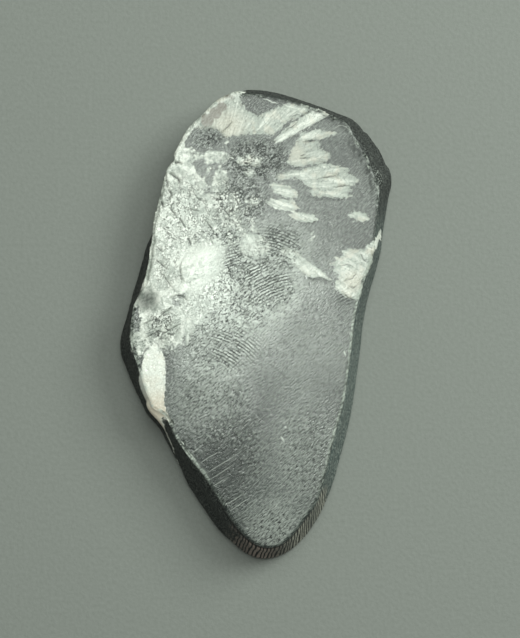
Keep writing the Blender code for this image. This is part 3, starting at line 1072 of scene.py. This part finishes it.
# Marks drawn over the colour as they are: the share that they take and their colour. The last is the
# painted shade on the rim at the broad end.
PLAIN_MARKS = (("dark_line", 0.95, "#141716"), ("pale_line", 0.85, "#dfe3dc"), ("painted_rim_shade", 0.95, "#1b201e"))
# Marks that one of the noises breaks up: the noise, its range and what that gives, and the colour.
BROKEN_MARKS = (
    # Pale on the rim: scuffs and a painted highlight.
    ("scuff_and_highlight", "dust", (0.42, 0.56, 0.25, 0.95), "SMOOTHSTEP", "#c3cac2"),
    ("chipped", "fine", (0.42, 0.62, 0.0, 0.7), "LINEAR", "#b4bab2"),
    # Pale flecks painted as glints on the corner facet.
    ("painted_glint", "dust", (0.56, 0.66, 0.0, 1.0), "SMOOTHSTEP", "#c3c8c2"),
)
SMOOTH = {"interpolation_type": "SMOOTHSTEP"}
COLOURED = {"data_type": "RGBA"}
TIMES = {"operation": "MULTIPLY"}


def linear(hex_colour):
    """A colour for a shader socket from an sRGB hex value."""
    channels = [int(hex_colour[i:i + 2], 16) / 255 for i in (1, 3, 5)]
    curved = [c / 12.92 if c <= 0.04045 else ((c + 0.055) / 1.055) ** 2.4 for c in channels]
    return (*curved, 1.0)


def add_node(tree, kind, inputs, output=0, **settings):
    """Adds a node, sets or links its inputs by name or in order, and gives one of its outputs."""
    made = tree.nodes.new("ShaderNode" + kind)
    for name, value in settings.items():
        setattr(made, name, value)
    sockets = [socket for socket in made.inputs if socket.enabled]
    pairs = inputs.items() if isinstance(inputs, dict) else enumerate(inputs)
    for key, value in pairs:
        socket = made.inputs[key] if isinstance(key, str) else sockets[key]
        if isinstance(value, bpy.types.NodeSocket):
            tree.links.new(value, socket)
        else:
            socket.default_value = value
    if not made.outputs:
        return made
    outputs = [socket for socket in made.outputs if socket.enabled]
    return made.outputs[output] if isinstance(output, str) else outputs[output]


def bare_material(name):
    """A new material with no surface yet, its own add function, and the place in millimetres."""
    material = bpy.data.materials.new(name)
    material.use_nodes = True
    material.node_tree.nodes.clear()
    add = partial(add_node, material.node_tree)
    place = add("VectorMath", {0: add("TexCoord", {}, "Object"), "Scale": 1 / MM}, operation="SCALE")
    return material, add, place


def with_shares(add, start, parts):
    """The start with a share of each part added to it."""
    for part, share in parts:
        start = add("Math", [part, share, start], operation="MULTIPLY_ADD")
    return start


def stone_grains(add, place):
    """Every noise of the stone. Fibres and strands run outwards from the heart of the flower."""
    spoke = add("VectorMath", [place, (*HEART, 0.0)], operation="SUBTRACT")
    spoke = add("VectorMath", [spoke, (1.0, 1.0, 0.0)], operation="MULTIPLY")
    out = add("VectorMath", [spoke], "Value", operation="LENGTH")
    out = add("CombineXYZ", {"Z": add("Math", [out, 1 / FIBRE_LENGTH], **TIMES)})
    around = add("VectorMath", [spoke], operation="NORMALIZE")
    around = add("VectorMath", {0: around, "Scale": HEART_REACH / FIBRE_WIDTH}, operation="SCALE")
    fan = add("VectorMath", [around, out], operation="ADD")
    drawn_out = {}
    for name, way, stretch in (
        ("streaks", WIPE_ANGLE, (SCRATCH_LENGTH / SCRATCH_WIDTH, 1.0, 1.0)),
        ("dust", WIPE_ANGLE, (DUST_STRETCH, 1.0, 1.0)),
        ("grinding", 0.0, (1.0, 1.0, GRINDING_STRETCH)),
    ):
        inputs = {"Vector": place, "Rotation": (0.0, 0.0, way), "Scale": stretch}
        drawn_out[name] = add("Mapping", inputs, vector_type="TEXTURE")
    # The fan is counted in fibre widths already. Each row ends with the noise's detail and roughness.
    noises = {
        "fibres": (fan, 1.0, 3.0, 0.6),
        "strands": (fan, STRAND_WIDTH / FIBRE_WIDTH, 2.0, 0.5),
        "fine": (place, FINE_SIZE, 2.0, 0.5),
        "clumps": (place, CLUMP_SIZE, 2.0, 0.5),
        "tones": (place, TONE_SIZE, 3.0, 0.5),
        "stains": (place, STAIN_SIZE, 2.0, 0.5),
        "pits": (place, PIT_SIZE, 2.0, 0.6),
        "dust": (drawn_out["dust"], DUST_SIZE, 1.0, 0.5),
        "streaks": (drawn_out["streaks"], SCRATCH_WIDTH, 1.0, 0.5),
        "grinding": (drawn_out["grinding"], GRINDING_SIZE, 3.0, 0.5),
    }
    return {
        name: add("TexNoise", {"Vector": where, "Scale": 1 / size, "Detail": detail, "Roughness": roughness})
        for name, (where, size, detail, roughness) in noises.items()
    }


def calcite_share(add, mark, grains):
    """Where the stone is calcite, how milky it is, and the dark edge of each blade."""
    ragged = with_shares(add, mark["blade"], ((grains["fine"], 0.9), (grains["fibres"], 0.9)))
    ragged = add("Math", [ragged, 0.9], operation="SUBTRACT")
    in_blade = add("MapRange", [ragged, -0.06, 0.12], **SMOOTH)
    edge = add("MapRange", [ragged, -0.25, -0.06], **SMOOTH)
    edge = add("Math", [edge, in_blade], operation="SUBTRACT", use_clamp=True)

    pebbles = ((grains["clumps"], 0.9), (grains["fine"], 1.2), (mark["cover"], 1.15))
    in_grain = add("MapRange", [with_shares(add, 0.0, pebbles), 1.50, 1.95], **SMOOTH)
    thin = add("MapRange", [mark["cover"], 0.02, 0.3], **SMOOTH)
    in_grain = add("Math", [in_grain, thin], **TIMES)

    core = add("MapRange", [mark["blade"], 0.0, 0.8, 0.02, 0.24], **SMOOTH)
    threads = ((grains["fibres"], 1.0), (grains["strands"], 0.7), (grains["fine"], 0.4))
    blade_tone = with_shares(add, core, threads)
    grain_tone = with_shares(add, 0.0, ((grains["fine"], 1.0), (grains["clumps"], 1.5)))
    tone = add("Mix", [in_blade, grain_tone, blade_tone])
    lobes = add("Math", [add("Math", [grains["clumps"], 0.5], operation="SUBTRACT")], operation="ABSOLUTE")
    lobes = add("MapRange", [lobes, 0.0, 0.035, -0.25, 0.0], **SMOOTH)
    tone = add("Math", [tone, lobes], operation="ADD")
    tone = add("Math", [mark["milk"], add("Math", [tone, 1.07], operation="SUBTRACT")], operation="ADD")
    return add("Math", [in_blade, in_grain], operation="MAXIMUM"), tone, edge


def touch_marks(add, mark, grains):
    """Pits and skin-ridge arcs in the greasy film, from 0 on the film to 1 in the gaps."""
    pits = 0.0
    widened = add("MapRange", [mark["pitted"], 0.85, 1.0, 0.0, 0.014])
    for noise_name, breaks in (("pits", "fine"), ("fine", "pits")):
        contour = add("Math", [grains[noise_name], 0.5], operation="SUBTRACT")
        contour = add("Math", [contour], operation="ABSOLUTE")
        contour = add("Math", [contour, widened], operation="SUBTRACT")
        lines = add("MapRange", [contour, 0.020, 0.052, 1.0, 0.0], **SMOOTH)
        broken = add("MapRange", [grains[breaks], 0.45, 0.51, 0.05, 1.0], **SMOOTH)
        lines = add("Math", [lines, broken], **TIMES)
        pits = add("Math", [lines, pits], operation="MAXIMUM")
    deep = add("MapRange", [mark["pitted"], 0.35, 1.0, 0.0, 1.1])
    pits = add("Math", [pits, deep], operation="MULTIPLY", use_clamp=True)
    worn = add("MapRange", [grains["clumps"], 0.32, 0.56, 0.4, 1.0], **SMOOTH)
    wobble = add("Math", [grains["clumps"], 5.0], **TIMES)
    arcs = add("Math", [mark["smudge_turn"], 2 * math.pi, wobble], operation="MULTIPLY_ADD")
    arcs = add("Math", [arcs], operation="SINE")
    arcs = add("MapRange", [arcs, -0.1, 0.9], **SMOOTH)
    broken = add("MapRange", [grains["stains"], 0.36, 0.5, 0.15, 1.0], **SMOOTH)
    arcs = add("Math", [arcs, broken], **TIMES)
    arcs = add("Math", [arcs, mark["smudge"]], **TIMES)
    pits = add("Math", [pits, worn], **TIMES)
    return add("Math", [pits, arcs], operation="MAXIMUM")


def calcite_colour(add, mark, grains, tone):
    """Calcite is grey and glassy where it is clear, milk white where it is full of flaws, and part cream."""
    glassy = add("MapRange", [tone, 0.0, 0.55], **SMOOTH)
    milky = add("MapRange", [tone, 0.45, 1.0], **SMOOTH)
    crystal = add("Mix", [glassy, linear("#59605b"), linear("#a4aaa2")], **COLOURED)
    crystal = add("Mix", [milky, crystal, linear("#f2f3ec")], **COLOURED)
    cream = add("MapRange", [grains["stains"], 0.48, 0.66, 0.0, 0.3], **SMOOTH)
    cream = add("Math", [cream, mark["creamy"]], operation="MAXIMUM")
    cream = add("Math", [cream, add("MapRange", [mark["blade"], -0.1, 0.2, 0.15, 1.0])], **TIMES)
    return add("Mix", [cream, crystal, linear("#decfbd")], **COLOURED)


def stain_layers(add, mark, grains, calcite):
    """Iron stains, and the soft hollow painted dark as the shade in it."""
    rust = add("Math", [grains["clumps"], 0.9, mark["brown"]], operation="MULTIPLY_ADD")
    rust = add("MapRange", [rust, 0.8, 1.1, 0.0, 0.9], **SMOOTH)
    stain = add("Mix", [calcite, linear("#3a302b"), linear("#70665d")], **COLOURED)
    return (rust, stain), (add("Math", [mark["hollow"], 0.75], **TIMES), linear("#2f3533"))


def film_and_glare_layers(add, mark, grains, calcite, gaps, scratches):
    """Film and painted glare as a pale veil with dust in it; its gaps and specks show the stone dark."""
    # The pale veil of the film is partly painted glare off the polish.
    haze_and_glare = add("MapRange", [grains["stains"], 0.3, 0.7, 0.58, 0.98])
    haze_and_glare = add("Math", [haze_and_glare, mark["film_and_glare"]], **TIMES)
    dusty = add("MapRange", [grains["dust"], 0.47, 0.60, 0.0, 0.42])
    on_polish = add("MapRange", [mark["pitted"], 0.4, 0.8, 0.5, 1.0])
    on_side = add("Math", [mark["dust_and_lit_side"], 0.6, 0.4], operation="MULTIPLY_ADD")
    unwiped = add("MapRange", [mark["film_and_glare"], -0.9, 0.0, 0.1, 1.0])
    dusty = add("Math", [dusty, add("Mix", [mark["sawn"], on_polish, on_side])], **TIMES)
    dusty = add("Math", [dusty, unwiped], **TIMES)
    specks = add("MapRange", [grains["dust"], 0.46, 0.37, 0.0, 1.5], **SMOOTH)
    bare = add("MapRange", [calcite, 0.0, 1.0, 1.0, 0.3])
    specks = add("Math", [specks, mark["pitted"]], **TIMES)
    specks = add("Math", [specks, bare], **TIMES)
    dark = add("Math", [gaps, 0.95], **TIMES)
    dark = add("Math", [dark, specks], operation="MAXIMUM", use_clamp=True)
    return (
        (haze_and_glare, linear("#dde2dc")),
        (dusty, linear("#b4bab3")),
        (dark, linear("#151918")),
        (add("Math", [scratches, 0.26], **TIMES), linear("#b9beb7")),
    )


def wear_layers(add, mark, grains):
    """Cracks, crushed chips, rim scuffs with painted highlight and shade, and painted glints on the facet."""
    layers = []
    for name, share, paint in PLAIN_MARKS:
        layers.append((add("Math", [mark[name], share], **TIMES), linear(paint)))
    for name, noise_name, span, easing, paint in BROKEN_MARKS:
        breaks = add("MapRange", [grains[noise_name], *span], interpolation_type=easing)
        layers.append((add("Math", [breaks, mark[name]], **TIMES), linear(paint)))
    return layers


def rib_colour(add, mark, grains):
    """Ribs: painted shade near black in the hollows, stone-dust tan on the crests, browner at the very tip.
    """
    wave = add("Math", [mark["rib_turn"], 2 * math.pi], **TIMES)
    wave = add("Math", [wave], operation="SINE")
    hollow_shade = add("MapRange", [wave, -0.1, 0.6])
    crest = add("Mix", [mark["tip_brown"], linear("#bcbcaf"), linear("#c0aaa2")], **COLOURED)
    crest = add("Mix", [grains["grinding"], crest, linear("#6c6660")], **COLOURED)
    return add("Mix", [hollow_shade, crest, linear("#0b0a0a")], **COLOURED)


def stone_colour(add, mark, grains, calcite, tone, edge, gaps, scratches):
    """The colour of the stone, laid up in layers from the dark mud outwards."""
    shade = add("MapRange", [grains["tones"], 0.3, 0.7], **SMOOTH)
    colour = add("Mix", [shade, linear("#272c2b"), linear("#353b39")], **COLOURED)
    # The side is painted lighter where it faces the panel, and near black where it is in shade.
    side = add("Mix", [mark["dust_and_lit_side"], linear("#0c1010"), linear("#3e4a49")], **COLOURED)
    layers = (
        (mark["sawn"], side),
        (calcite, calcite_colour(add, mark, grains, tone)),
        (add("Math", [edge, 0.3], **TIMES), linear("#1d2120")),
        *stain_layers(add, mark, grains, calcite),
        *film_and_glare_layers(add, mark, grains, calcite, gaps, scratches),
        *wear_layers(add, mark, grains),
        (mark["ribbed"], rib_colour(add, mark, grains)),
        # The groove is painted near black, as the shade in it.
        (mark["groove"], linear("#121313")),
    )
    for share, paint in layers:
        colour = add("Mix", [share, colour, paint], **COLOURED)
    return colour


def stone_relief(add, mark, grains, calcite, gaps, scratches):
    """Height of the fine surface in millimetres, too fine for the mesh."""
    polish = add("MapRange", [mark["pitted"], 0.0, 1.0, *POLISH_HEIGHTS])
    return with_shares(add, add("Math", [grains["fine"], polish], **TIMES), (
        (grains["dust"], DUST_HEIGHT),
        (grains["fibres"], add("Math", [calcite, THREAD_HEIGHT], **TIMES)),
        (gaps, -GAP_DEPTH),
        (scratches, -SCRATCH_DEPTH),
        (grains["grinding"], add("Math", [mark["sawn"], GROUND_HEIGHT], **TIMES)),
    ))


def polished_limestone():
    """The stone's one material, from the marks kept on its points."""
    material, add, place = bare_material("polished_limestone_with_calcite")
    mark = {name: add("Attribute", {}, "Fac", attribute_name=name) for name in MARKS}
    grains = stone_grains(add, place)
    calcite, tone, edge = calcite_share(add, mark, grains)
    gaps = touch_marks(add, mark, grains)
    scratches = add("MapRange", [grains["streaks"], 0.56, 0.70], **SMOOTH)
    patchy = add("MapRange", [grains["tones"], 0.44, 0.6, 0.1, 1.0], **SMOOTH)
    polished = add("Math", [1.0, mark["sawn"]], operation="SUBTRACT")
    scratches = add("Math", [scratches, patchy], **TIMES)
    scratches = add("Math", [scratches, polished], **TIMES)

    gloss = add("MapRange", [grains["tones"], 0.3, 0.7, *POLISH_ROUGHNESS])
    gloss = with_shares(add, gloss, ((gaps, 0.35), (scratches, 0.08)))
    gloss = with_shares(add, gloss, [(mark[name], share) for name, share in ROUGH_MARKS])
    relief = stone_relief(add, mark, grains, calcite, gaps, scratches)
    shader = add("BsdfPrincipled", {
        "Base Color": stone_colour(add, mark, grains, calcite, tone, edge, gaps, scratches),
        "Roughness": add("Math", [gloss, MOST_ROUGHNESS], operation="MINIMUM"),
        "IOR": STONE_IOR,
        "Normal": add("Bump", {"Height": relief, "Strength": 1.0, "Distance": MM}),
    })
    add("OutputMaterial", {"Surface": shader})
    return material


stone.data.materials.append(polished_limestone())
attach(stone, "root")
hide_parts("stone")

# The table top
# A plain pale matt board that the slab lies on, wide enough to fill every view.

FLOOR_REACH = 0.7
ORANGE_PEEL = 0.6
PEEL_HEIGHT = 0.05
BOARD_ROUGHNESS = 0.75


def matt_board():
    """Matt painted board with the faint orange-peel of a roller."""
    material, add, place = bare_material("matt_painted_board")
    peel = add("TexNoise", {"Vector": place, "Scale": 1 / ORANGE_PEEL, "Detail": 2.0})
    relief = add("Math", [peel, PEEL_HEIGHT], **TIMES)
    shader = add("BsdfPrincipled", {
        "Base Color": add("Mix", [peel, linear("#828581"), linear("#909390")], **COLOURED),
        "Roughness": BOARD_ROUGHNESS,
        "Normal": add("Bump", {"Height": relief, "Strength": 1.0, "Distance": MM}),
    })
    add("OutputMaterial", {"Surface": shader})
    return material


floor_mesh = bpy.data.meshes.new("table_top")
floor_corners = [(x * FLOOR_REACH, y * FLOOR_REACH, 0.0) for x, y in ((-1, -1), (1, -1), (1, 1), (-1, 1))]
floor_mesh.from_pydata(floor_corners, [], [(0, 1, 2, 3)])
floor = bpy.data.objects.new("table_top", floor_mesh)
floor.data.materials.append(matt_board())
bpy.context.scene.collection.objects.link(floor)

# Light and camera
# A broad soft box hangs past the broad end and a small one above the camera, so that their reflections
# lie as a soft glare on the polish. A panel at the right lights that side and throws a soft shadow
# leftwards.

CAMERA_TARGET = Vector((0.577, 0.615, 0.0)) * MM
CAMERA_TILT = math.radians(4.0)
CAMERA_DISTANCE = 300.0 * MM
CAMERA_LENS = 106.6
CAMERA_CLIP = 0.01
LIGHT_TINT = "#f6fff5"
# Each soft box: name, place and size in metres, and brightness.
SOFT_BOXES = (
    ("broad_soft_box", (0.09, 0.25, 0.60), 0.40, 3.5),
    ("small_soft_box", (-0.015, 0.055, 0.60), 0.06, 34.0),
    ("side_panel", (0.41, 0.25, 0.36), 0.30, 8.7),
)
WORLD_LIGHT = 0.18


def soft_box(name, place, size, brightness):
    """A square panel of even brightness that faces the slab."""
    light = bpy.data.lights.new(name, "AREA")
    light.shape = "SQUARE"
    light.size = size
    light.energy = brightness * math.pi * size * size
    light.color = linear(LIGHT_TINT)[:3]
    panel = bpy.data.objects.new(name, light)
    panel.location = place
    panel.rotation_euler = (-Vector(place)).to_track_quat("-Z", "Y").to_euler()
    bpy.context.scene.collection.objects.link(panel)


for box in SOFT_BOXES:
    soft_box(*box)

world = bpy.data.worlds.new("pale_room")
world.use_nodes = True
backdrop = world.node_tree.nodes["Background"]
backdrop.inputs["Color"].default_value = linear(LIGHT_TINT)
backdrop.inputs["Strength"].default_value = WORLD_LIGHT
scene = bpy.context.scene
scene.world = world
scene.view_settings.view_transform = "Standard"

camera_data = bpy.data.cameras.new("camera")
camera_data.lens = CAMERA_LENS
camera_data.clip_start = CAMERA_CLIP
camera = bpy.data.objects.new("camera", camera_data)
stand_off = Vector((0.0, -math.sin(CAMERA_TILT), math.cos(CAMERA_TILT))) * CAMERA_DISTANCE
camera.location = CAMERA_TARGET + stand_off
camera.rotation_euler = (-stand_off).to_track_quat("-Z", "Y").to_euler()
scene.collection.objects.link(camera)
scene.camera = camera
